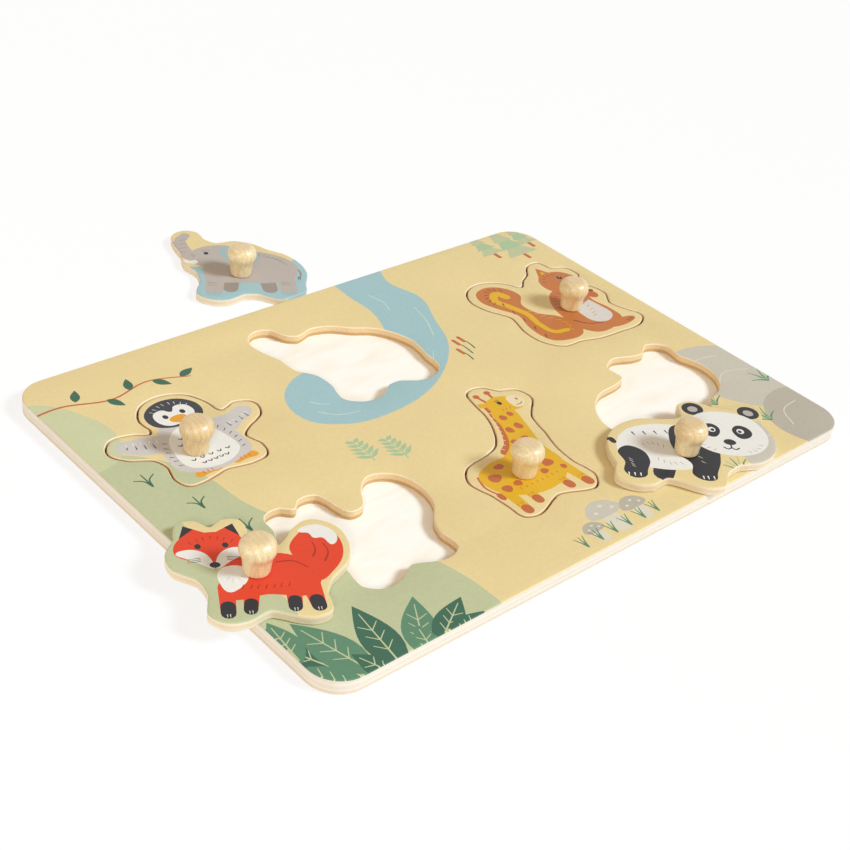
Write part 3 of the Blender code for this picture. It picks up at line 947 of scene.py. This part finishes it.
def growth_rings(tree, place):
    settings = {"wave_type": "BANDS", "bands_direction": "X"}
    inputs = {"Vector": place, "Scale": WAVE_LENGTH / RING_SPACING}
    inputs |= {"Distortion": 3.0, "Detail": 2.0, "Detail Scale": 0.6}
    return add_node(tree, "ShaderNodeTexWave", settings, inputs).outputs["Fac"]


def lacquered_beech():
    material, tree, shader = new_material("turned_beech_clear_lacquered", roughness=0.4)
    place = object_place(tree)
    pores = fibres(tree, place, (PORE_WIDTH, PORE_WIDTH, PORE_LENGTH), detail=3.0)
    flecks = noise(tree, place, FLECK_SIZE, detail=2.0)
    plank = noise(tree, place, PLANK_SPACING, detail=0.0)
    wood = mixed(tree, growth_rings(tree, place), "#F6E9CA", "#E6CD9C")
    pored = mixed(tree, spread(tree, pores, 0.3, 0.7), "#CFA76E", "#FDF5E2")
    flecked = mixed(tree, spread(tree, flecks, 0.35, 0.65), "#DDBD8A", "#FCF3DA")
    grain = mixed(tree, 0.6, wood, mixed(tree, 0.4, pored, flecked))
    tint = mixed(tree, spread(tree, plank, 0.35, 0.65), "#F2ECCE", "#DEC892")
    side = mixed(tree, 0.6, grain, tint, "MULTIPLY")
    end_grain = spread(tree, upward(tree), 0.8, 0.99, most=0.4)
    feed(tree, shader, {"Base Color": mixed(tree, end_grain, side, "#D4B37E")})
    feed(tree, shader, {"Coat Weight": 0.7, "Coat Roughness": 0.29, "Coat IOR": 1.5})
    return material


beech = lacquered_beech()
print("knobs:", beech.name)

# %% [markdown]
# ## Finding each sheet's outline
#
# A printed sheet has to lie exactly where the CAD sheet lies. So its outline is read from the CAD node's
# own flat face: the edges on the face's border are chained into loops. The saw's smooth line is then
# drawn through their points.

# %% Read the outlines from the frame
SAME_POINT = 0.01 * MM
SAME_HEIGHT = 0.001 * MM


def face_loops(node):
    """The loops round a node's flat top face in millimetres, longest first, and its lowest and highest z."""
    form = bmesh.new()
    form.from_mesh(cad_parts[node].data)
    bmesh.ops.remove_doubles(form, verts=form.verts, dist=SAME_POINT)
    heights = [vert.co.z for vert in form.verts]
    top = max(heights)
    # A dictionary keeps the border's edges in the mesh's own order
    follows = {}
    for face in form.faces:
        if all(vert.co.z > top - SAME_HEIGHT for vert in face.verts):
            for corner in face.loops:
                follows[(corner.vert.index, corner.link_loop_next.vert.index)] = True
    border = {a: b for a, b in follows if (b, a) not in follows}
    points = {vert.index: vert.co.xy / MM for vert in form.verts}
    form.free()
    loops = []
    while border:
        first = next(iter(border))
        loop = []
        here = first
        while here in border:
            loop.append(points[here])
            here = border.pop(here)
        loops.append(loop)
    loops.sort(key=around, reverse=True)
    return loops, min(heights) / MM, top / MM


def around(loop):
    """The length of a closed loop."""
    return sum((point - loop[i - 1]).length for i, point in enumerate(loop))


def spaced(loop, least=0.35):
    """The loop without points that nearly touch the one before, which would put kinks in a curve."""
    kept = [loop[0]]
    for point in loop[1:]:
        if (point - kept[-1]).length > least and (point - loop[0]).length > least:
            kept.append(point)
    return kept


def rounded_rectangle(length, width, radius, steps=16):
    """The outline of a rectangle with round corners, about its middle."""
    loop = []
    for quarter in range(4):
        side_x = 1 if quarter in (0, 3) else -1
        side_y = 1 if quarter in (0, 1) else -1
        middle = Vector((side_x * (length / 2 - radius), side_y * (width / 2 - radius)))
        for step in range(steps + 1):
            angle = math.radians(90) * (quarter + step / steps)
            loop.append(middle + Vector((math.cos(angle), math.sin(angle))) * radius)
    return loop


# %% [markdown]
# ## Printing the pictures on
#
# The print has no thickness of its own, so it is not a second layer but the sheet's own top face. All
# outlines are laid over each other and the face is cut along every line, so that each small triangle is
# wholly inside or outside each shape. It then takes the ink of the last shape that covers it. Cutting is
# left to Blender's Delaunay function, because lines that cross in hundreds of places can't be cut by hand.

# %% Cut a face along its picture
# The choice of output that leaves out what lies outside every outline
ONLY_INSIDE = 1
CUT_TOLERANCE = 1e-5


def area(loop):
    """Twice the area inside a loop, negative where it runs clockwise."""
    return sum(loop[i - 1].cross(point) for i, point in enumerate(loop))


def printed_face(outer, holes, art):
    """Points, triangles and inks of a flat face with holes and a picture on it."""
    points, rings = [], []
    for loop in [outer, *holes, *[shape for _, shape in art]]:
        ring = loop if area(loop) > 0 else loop[::-1]
        rings.append(list(range(len(points), len(points) + len(ring))))
        points.extend(ring)
    found = delaunay_2d_cdt(points, [], rings, ONLY_INSIDE, CUT_TOLERANCE, True)
    corners, _, triangles, _, _, owners = found
    first_shape = 1 + len(holes)
    kept, inks = [], []
    for triangle, owner in zip(triangles, owners):
        inside = set(owner)
        if 0 not in inside or any(hole in inside for hole in range(1, first_shape)):
            continue
        top = max(inside)
        kept.append(triangle)
        inks.append("sand" if top < first_shape else art[top - first_shape][0])
    used = sorted({corner for triangle in kept for corner in triangle})
    number = {corner: i for i, corner in enumerate(used)}
    triangles = [[number[corner] for corner in triangle] for triangle in kept]
    return [corners[corner] for corner in used], triangles, inks


# %% [markdown]
# ## Giving a printed face its thickness
#
# Now the work is by hand: the border of the face is extruded a little down and pushed outwards, a few
# times over, which makes the sanded rim. One long extrusion is the sawn wall, a small one under it breaks
# the lower edge, and the bottom is filled. The new faces take bare plywood.

# %% Steps of extruding a sheet
RIM = 0.6
RIM_STEPS = 4
SHEET_SMOOTHING = math.radians(35)
# How far down a rounded rim the ink still reaches: only on sanded outer rims does it go further
INK_ON_SAWN_RIM = 0.05
INK_ON_SANDED_RIM = 0.3
# Lines that nearly touch leave slivers in the print, and points closer than this are made one
NEAREST = 0.001


def deselect_all():
    if bpy.context.object and bpy.context.object.mode != "OBJECT":
        bpy.ops.object.mode_set(mode="OBJECT")
    bpy.ops.object.select_all(action="DESELECT")


def select_border():
    """Selects the open border of the mesh that is being edited."""
    bpy.ops.mesh.select_mode(type="EDGE")
    bpy.ops.mesh.select_all(action="DESELECT")
    bpy.ops.mesh.select_non_manifold(
        use_wire=False, use_boundary=True, use_multi_face=False, use_non_contiguous=False, use_verts=False,
    )


def face_outwards():
    """Turns every face outwards and ends the editing."""
    bpy.ops.mesh.select_all(action="SELECT")
    bpy.ops.mesh.normals_make_consistent(inside=False)
    bpy.ops.object.mode_set(mode="OBJECT")


def rim_moves(radius, steps, rounding_in=False):
    """(down, out) for each step round a quarter circle, from a flat face to an upright wall."""
    angles = [math.radians(90) * i / steps for i in range(steps + 1)]
    moves = []
    for start, end in zip(angles, angles[1:]):
        down = radius * (math.cos(start) - math.cos(end))
        out = radius * (math.sin(end) - math.sin(start))
        moves.append((down, out))
    if rounding_in:
        moves = [(down, -out) for down, out in reversed(moves)]
    return moves


# %% Make a whole sheet


def sheet_object(name, face, low, high, under_rim=0.0, under_steps=0):
    """A closed sheet with a printed top, its edges rounded, between two heights in millimetres."""
    deselect_all()
    corners, triangles, inks = face
    mesh = bpy.data.meshes.new(name)
    mesh.from_pydata([(x * MM, y * MM, high * MM) for x, y in corners], [], triangles)
    sheet = bpy.data.objects.new(name, mesh)
    bpy.context.collection.objects.link(sheet)
    sheet.select_set(True)
    bpy.context.view_layer.objects.active = sheet
    used = [ink for ink in INK_ORDER if ink in inks]
    for ink in used:
        mesh.materials.append(ink_materials[ink])
    for polygon_of_ink, ink in zip(mesh.polygons, inks):
        polygon_of_ink.material_index = used.index(ink)

    wall = high - low - RIM - under_rim
    moves = [*rim_moves(RIM, RIM_STEPS), (wall, 0.0)]
    if under_rim:
        moves += rim_moves(under_rim, under_steps, rounding_in=True)
    bpy.ops.object.mode_set(mode="EDIT")
    bpy.ops.mesh.select_all(action="SELECT")
    bpy.ops.mesh.remove_doubles(threshold=NEAREST * MM)
    select_border()
    for down, out in moves:
        bpy.ops.mesh.extrude_edges_move(TRANSFORM_OT_translate={"value": (0, 0, -down * MM)})
        if out:
            bpy.ops.transform.shrink_fatten(value=out * MM)
    bpy.ops.mesh.fill(use_beauty=False)
    face_outwards()
    return sheet


def store_height(sheet, low):
    """Keeps each point's height above the underside, in millimetres, for the plywood's bands."""
    heights = sheet.data.attributes.new(HEIGHT_NAME, "FLOAT", "POINT")
    for vert, height in zip(sheet.data.vertices, heights.data):
        height.value = vert.co.z / MM - low


def bare_wood(sheet, high, wood_for):
    """Everything below the printed face takes bare wood, chosen by the place of each face."""
    woods = []
    for side in sheet.data.polygons:
        wood = wood_for(side)
        ink_reach = INK_ON_SANDED_RIM if wood in SANDED_EDGES else INK_ON_SAWN_RIM
        if high - side.center.z / MM < ink_reach:
            continue
        if wood not in woods:
            woods.append(wood)
            sheet.data.materials.append(wood)
        side.material_index = sheet.data.materials.find(wood.name)


def finish_sheet(sheet, low, high, wood_for):
    store_height(sheet, low)
    bare_wood(sheet, high, wood_for)
    bpy.ops.object.shade_smooth_by_angle(angle=SHEET_SMOOTHING)
    print(sheet.name, len(sheet.data.polygons), "faces,", len(sheet.data.materials), "materials")


# %% [markdown]
# ## The board's top sheet
#
# The board is a rounded rectangle with the six cut-outs. The laser leaves the cut-outs' walls toasted, and
# their colour is darker than the outer edge's and darkest at their foot: partly toasting, partly painted
# shade.
# Their rims are sanded bare and pale, and their top band is near white as a painted highlight. The outer
# edge is sanded pale too, and there the ink reaches over the rim. The CAD sheet floats a glue line above the
# backing, and the printed one is pressed down on it, so that the edge shows no dark slit.

# %% Make the printed board
CORNER_RADIUS = 14.0
BOARD_EDGE_STRIP = 1.0
GLUE_LINE = 0.28
# Distance between the points of a sawn outline
CUT_STEP = 0.8

board_loops, board_low, board_high = face_loops("board_top_sheet")
board_corners = [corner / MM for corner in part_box("board_top_sheet")]
board_length = board_corners[1].x - board_corners[0].x
board_width = board_corners[1].y - board_corners[0].y
board_outer = rounded_rectangle(board_length - 2 * RIM, board_width - 2 * RIM, CORNER_RADIUS - RIM)
board_holes = [curve_through(spaced(loop), step=CUT_STEP) for loop in board_loops[1:]]


def board_wood(side):
    across = abs(side.center.x / MM) > board_length / 2 - BOARD_EDGE_STRIP
    along = abs(side.center.y / MM) > board_width / 2 - BOARD_EDGE_STRIP
    corner = Vector((abs(side.center.x), abs(side.center.y))) / MM
    middle = Vector((board_length / 2 - CORNER_RADIUS, board_width / 2 - CORNER_RADIUS))
    in_corner = corner.x > middle.x and corner.y > middle.y
    return board_edge if across or along or in_corner else recess_edge_painted_shade_and_highlight


board_face = printed_face(board_outer, board_holes, landscape())
board = sheet_object("printed_board_sheet", board_face, board_low - GLUE_LINE, board_high)
finish_sheet(board, 0.0, board_high, board_wood)
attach(board, "board")
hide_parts("board_top_sheet")

# %% [markdown]
# ## The backing sheet
#
# The backing is the floor of every recess. Its CAD shape is right as it is, so it only gets its wood:
# nearly white birch with a long fine figure, faint warm patches and no print.

# %% Finish the backing sheet
BACKING_VENEER = 1.0
STAIN_LENGTH = 38 * MM
STAIN_WIDTH = 11 * MM
FIGURE_DEPTH = 0.02 * MM


def birch_backing():
    material, tree, shader = new_material("sanded_birch_plywood_backing", roughness=0.55)
    place = object_place(tree)
    height = add_node(tree, "ShaderNodeSeparateXYZ", None, {"Vector": place}).outputs["Z"]
    share = spread(tree, height, 0.0, TALLEST * MM)
    bands = band_ramp(tree, share, (BACKING_VENEER, 2 * BACKING_VENEER), EDGE_TONES)
    figure = birch_figure(tree, place)
    heartwood = fibres(tree, place, (STAIN_LENGTH, STAIN_WIDTH, STAIN_WIDTH), detail=3.0, distortion=0.6)
    clean = mixed(tree, figure, "#FFFAEE", "#FFFEFC")
    face = mixed(tree, spread(tree, heartwood, 0.46, 0.66), clean, "#FCF4E8")
    feed(tree, shader, {"Base Color": face_or_edge(tree, face, bands)})
    relief(tree, shader, figure, strength=0.3, depth=FIGURE_DEPTH)
    return material


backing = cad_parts["board_backing_sheet"]
backing.data.materials.clear()
backing.data.materials.append(birch_backing())
print("backing:", backing.data.materials[0].name)

# %% [markdown]
# ## Cutting the animals out
#
# The landscape was printed before the saw went round the animals. So each animal's picture starts with
# the landscape as it falls on its home recess, and the animal goes on top. The finished plate is then put
# where the CAD plate lies: in its recess, or turned a little and loose.

# %% Make the six picture pieces
HOMES = {
    "penguin": (-109.0, 31.25),
    "elephant": (-10.0, 47.25),
    "squirrel": (113.0, 31.95),
    "fox": (-85.5, -49.95),
    "giraffe": (-5.3, -54.85),
    "panda": (86.0, -53.95),
}
LYING_TURN = {"elephant": -30, "fox": -28, "panda": -40}
PICTURES = {
    "penguin": penguin_picture,
    "elephant": elephant_picture,
    "squirrel": squirrel_picture,
    "fox": fox_picture,
    "giraffe": giraffe_picture,
    "panda": panda_picture,
}
TENON_HOLE = 3.3
# No part of a piece is farther than this from its knob
PIECE_REACH = 75
UNDER_RIM = 0.3
UNDER_RIM_STEPS = 2


def knob_axis(name):
    low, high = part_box(name + "_knob")
    return ((low + high) / 2).xy / MM


def near_home(shape, home):
    """Whether any of a shape could fall on the piece that is at home here."""
    return any((point - home).length < PIECE_REACH for point in shape)


def picture_piece(name):
    loops, low, high = face_loops(name + "_plate")
    axis = knob_axis(name)
    home = Vector(HOMES[name])
    unturn = Matrix.Rotation(math.radians(-LYING_TURN.get(name, 0)), 2)
    turn = unturn.inverted()
    outer = curve_through([unturn @ (point - axis) for point in spaced(loops[0])], step=CUT_STEP)
    _, hole = oval("no_ink", 0, 0, TENON_HOLE, TENON_HOLE, points=40)
    ground = []
    for ink, shape in landscape():
        if near_home(shape, home):
            ground.append((ink, [point - home for point in shape]))
    corners, triangles, inks = printed_face(outer, [hole], ground + PICTURES[name]())
    face = ([axis + turn @ corner for corner in corners], triangles, inks)
    plate = sheet_object(name + "_picture_plate", face, low, high, UNDER_RIM, UNDER_RIM_STEPS)
    # A seated piece's darker walls paint the shade of the gap round it
    wood = piece_edge if name in LYING_TURN else seated_edge_painted_gap_shade
    finish_sheet(plate, low, high, lambda side: wood)
    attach(plate, name)
    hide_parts(name + "_plate")
    return plate


plates = {name: picture_piece(name) for name in PICTURES}

# %% [markdown]
# ## Turning the knobs
#
# A turner starts with a round blank and cuts the profile into it: a domed head with a small flat on top,
# a hollow neck, and a foot with its arris taken off. Here a circle is extruded upwards ring by ring and
# scaled to the profile, which is the same work in the other direction. A subdivision surface then smooths
# the facets. The tenon under the foot goes through the plate and shows on its underside.

# %% Turn one knob and copy it
KNOB_SIDES = 32
FOOT_GAP = 0.3
PLATE_THICKNESS = 4.0
TENON_RADIUS = 3.0
FOOT_DEPTH = 0.4
TOP_INSETS = (0.5, 1.6)
KNOB_SMOOTHING = math.radians(40)
# Radius and height above the CAD foot, in millimetres, from the foot on the print to the flat on top
KNOB_PROFILE = (
    (4.5, -0.28), (5.08, -0.05), (5.25, 0.5), (5.36, 2.2), (5.55, 4.2), (5.78, 5.7), (5.92, 6.4), (6.4, 7.5),
    (6.9, 8.5), (7.18, 9.4), (7.25, 10.2), (7.1, 11.5), (6.6, 12.9), (5.7, 14.05), (4.5, 14.75), (3.6, 15.0),
)


def grow_ring(radius, height, from_radius, from_height):
    """Extrudes the selected ring upwards and scales it to its new radius."""
    bpy.ops.mesh.extrude_edges_move(TRANSFORM_OT_translate={"value": (0, 0, (height - from_height) * MM)})
    factor = radius / from_radius
    bpy.ops.transform.resize(value=(factor, factor, 1.0), center_override=(0, 0, 0))


def turned_knob():
    deselect_all()
    rings = [
        (TENON_RADIUS, -(PLATE_THICKNESS + FOOT_GAP)),
        (TENON_RADIUS, -FOOT_GAP - FOOT_DEPTH),
        (TENON_RADIUS, KNOB_PROFILE[0][1]),
        *KNOB_PROFILE,
    ]
    radius, height = rings[0]
    bpy.ops.mesh.primitive_circle_add(
        vertices=KNOB_SIDES, radius=radius * MM, fill_type="NGON", location=(0, 0, height * MM),
    )
    knob = bpy.context.object
    bpy.ops.object.transform_apply(location=True, rotation=False, scale=False)
    bpy.ops.object.mode_set(mode="EDIT")
    select_border()
    for (from_radius, from_height), (to_radius, to_height) in zip(rings, rings[1:]):
        grow_ring(to_radius, to_height, from_radius, from_height)
    bpy.ops.mesh.edge_face_add()
    for inset in TOP_INSETS:
        bpy.ops.mesh.inset(thickness=inset * MM)
    face_outwards()
    smoother = knob.modifiers.new("lathe_smoothing", "SUBSURF")
    smoother.levels = 1
    smoother.render_levels = 1
    bpy.ops.object.modifier_apply(modifier=smoother.name)
    bpy.ops.object.shade_smooth_by_angle(angle=KNOB_SMOOTHING)
    return knob


def place_knob(pattern, name):
    """A copy of the knob on its own plate's knob axis, with its foot on the print."""
    axis = knob_axis(name)
    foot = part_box(name + "_knob")[1].z - KNOB_PROFILE[-1][1] * MM
    knob = bpy.data.objects.new(name + "_turned_knob", pattern.data.copy())
    bpy.context.collection.objects.link(knob)
    knob.data.transform(Matrix.Translation((axis.x * MM, axis.y * MM, foot)))
    knob.data.materials.append(beech)
    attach(knob, name)
    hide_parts(name + "_knob")
    print(knob.name, "at", [round(value, 1) for value in axis], "foot", round(foot / MM, 2))


pattern_knob = turned_knob()
for animal in PICTURES:
    place_knob(pattern_knob, animal)
bpy.data.objects.remove(pattern_knob, do_unlink=True)

# %% [markdown]
# ## Floor, light and camera
#
# The toy stands on a white studio floor. One large soft lamp stands low on the camera's right, so that
# every knob throws a soft shadow to the left. A low white card on the left lights the board's other side and
# the knobs' left edges. The warm white room fills the shadows, and a small lamp near the camera puts the
# second, lower highlight on the knobs. The floor is white to the camera and still keeps the shadows.

# %% Lay the floor
FLOOR_SIZE = 8.0
# The floor lies a hair below the board's underside, so the two never share a plane
FLOOR_DROP = 0.05 * MM
SHADOW_KEPT = 0.22


def rays_that_show(tree):
    """1 for a ray that shows the studio itself, seen straight or mirrored, and 0 for one that lights."""
    rays = add_node(tree, "ShaderNodeLightPath")
    shown = rays.outputs["Is Camera Ray"]
    for other in ("Is Glossy Ray", "Is Transmission Ray"):
        inputs = {0: shown, 1: rays.outputs[other]}
        shown = add_node(tree, "ShaderNodeMath", {"operation": "MAXIMUM"}, inputs).outputs["Value"]
    return shown


def studio_floor():
    deselect_all()
    bpy.ops.mesh.primitive_plane_add(size=FLOOR_SIZE, location=(0, 0, -FLOOR_DROP))
    floor = bpy.context.object
    floor.name = "studio_floor"
    material, tree, shader = new_material("white_studio_floor", roughness=0.9, specular=0.1)
    feed(tree, shader, {"Base Color": "#FDFDFF"})
    share = spread(tree, rays_that_show(tree), 0.0, 1.0, most=1 - SHADOW_KEPT)
    white = add_node(tree, "ShaderNodeEmission", None, {"Strength": 1.0}).outputs["Emission"]
    blend = add_node(tree, "ShaderNodeMixShader", None, {"Fac": share, 1: shader.outputs["BSDF"], 2: white})
    output = next(node for node in tree.nodes if node.type == "OUTPUT_MATERIAL")
    feed(tree, output, {"Surface": blend.outputs["Shader"]})
    floor.data.materials.append(material)
    floor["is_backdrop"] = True
    print("floor:", floor.name, "of", FLOOR_SIZE, "m")


studio_floor()

# %% Light the studio
LAMP_FROM = math.radians(-54)
LAMP_HEIGHT = math.radians(40)
LAMP_SPREAD = math.radians(16)
LAMP_STRENGTH = 2.72
LAMP_DISTANCE = 2.0
LAMP_COLOUR = (0.744, 0.881, 1.0)
WHITE = (1.0, 1.0, 1.0)
FRONT_PLACE = (-0.95, -0.75, 0.62)
FRONT_SIZE = 0.2
FRONT_POWER = 3.4
CARD_PLACE = (-1.3, 0.15, 0.14)
CARD_POWER = 3.2
CARD_LENGTH = 0.7
CARD_HEIGHT = 0.25
ROOM_LIGHT = 0.51
ROOM_COLOUR = (1.0, 0.81, 0.59)


def towards(azimuth, elevation):
    """The direction at an angle round from +X and an angle up."""
    level = math.cos(elevation)
    return Vector((math.cos(azimuth) * level, math.sin(azimuth) * level, math.sin(elevation)))


def add_lamp(name, kind, colour, place, settings):
    """A lamp that shines from its place towards the middle of the board."""
    data = bpy.data.lights.new(name, kind)
    data.color = colour
    for setting, value in settings.items():
        setattr(data, setting, value)
    lamp = bpy.data.objects.new(name, data)
    bpy.context.collection.objects.link(lamp)
    lamp.location = place
    lamp.rotation_euler = Vector(place).to_track_quat("Z", "Y").to_euler()
    print("lamp:", name)


def studio_light():
    lamp_place = LAMP_DISTANCE * towards(LAMP_FROM, LAMP_HEIGHT)
    front = {"energy": FRONT_POWER, "shape": "DISK", "size": FRONT_SIZE}
    card = {"energy": CARD_POWER, "shape": "RECTANGLE", "size": CARD_LENGTH, "size_y": CARD_HEIGHT}
    add_lamp("soft_lamp", "SUN", LAMP_COLOUR, lamp_place, {"energy": LAMP_STRENGTH, "angle": LAMP_SPREAD})
    add_lamp("front_lamp", "AREA", WHITE, FRONT_PLACE, front)
    add_lamp("side_card", "AREA", WHITE, CARD_PLACE, card)

    world = bpy.data.worlds.new("white_room")
    bpy.context.scene.world = world
    world.use_nodes = True
    tree = world.node_tree
    room = tree.nodes["Background"]
    shown = rays_that_show(tree)
    strength = spread(tree, shown, 0.0, 1.0, least=ROOM_LIGHT)
    colour = mixed(tree, shown, (*ROOM_COLOUR, 1.0), (*WHITE, 1.0))
    feed(tree, room, {"Color": colour, "Strength": strength})
    bpy.context.scene.view_settings.view_transform = "Standard"


studio_light()

# %% Set up the camera
CAMERA_PLACE = (-0.40197, -0.37932, 0.37032)
CAMERA_AZIMUTH = math.radians(-45.871)
CAMERA_ELEVATION = math.radians(34.110)
CAMERA_ROLL = math.radians(7.682)
CAMERA_LENS = 64.084
SENSOR_WIDTH = 36.0


def studio_camera():
    data = bpy.data.cameras.new("studio_camera")
    data.lens = CAMERA_LENS
    data.sensor_width = SENSOR_WIDTH
    camera = bpy.data.objects.new("studio_camera", data)
    bpy.context.collection.objects.link(camera)
    level = Vector((math.cos(CAMERA_AZIMUTH), math.sin(CAMERA_AZIMUTH), 0.0))
    back = towards(CAMERA_AZIMUTH - math.radians(90), CAMERA_ELEVATION)
    upright = back.cross(level)
    right = level * math.cos(CAMERA_ROLL) + upright * math.sin(CAMERA_ROLL)
    up = back.cross(right)
    turn = Matrix((right, up, back)).transposed()
    camera.matrix_world = Matrix.Translation(CAMERA_PLACE) @ turn.to_4x4()
    bpy.context.scene.camera = camera
    print("camera:", CAMERA_LENS, "mm lens")


studio_camera()

# %% [markdown]
# ## Measure the boxes
#
# Both boxes, the CAD model's and the dressed model's, are printed side by side, since the dressed model is
# meant to fill the same box.

# %% Print the sizes
bpy.context.view_layer.update()
dressed_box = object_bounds()
for title, low_high in (("CAD", cad_box), ("dressed", dressed_box)):
    print(title, "box in mm:", [[round(value / MM, 2) for value in corner] for corner in low_high])
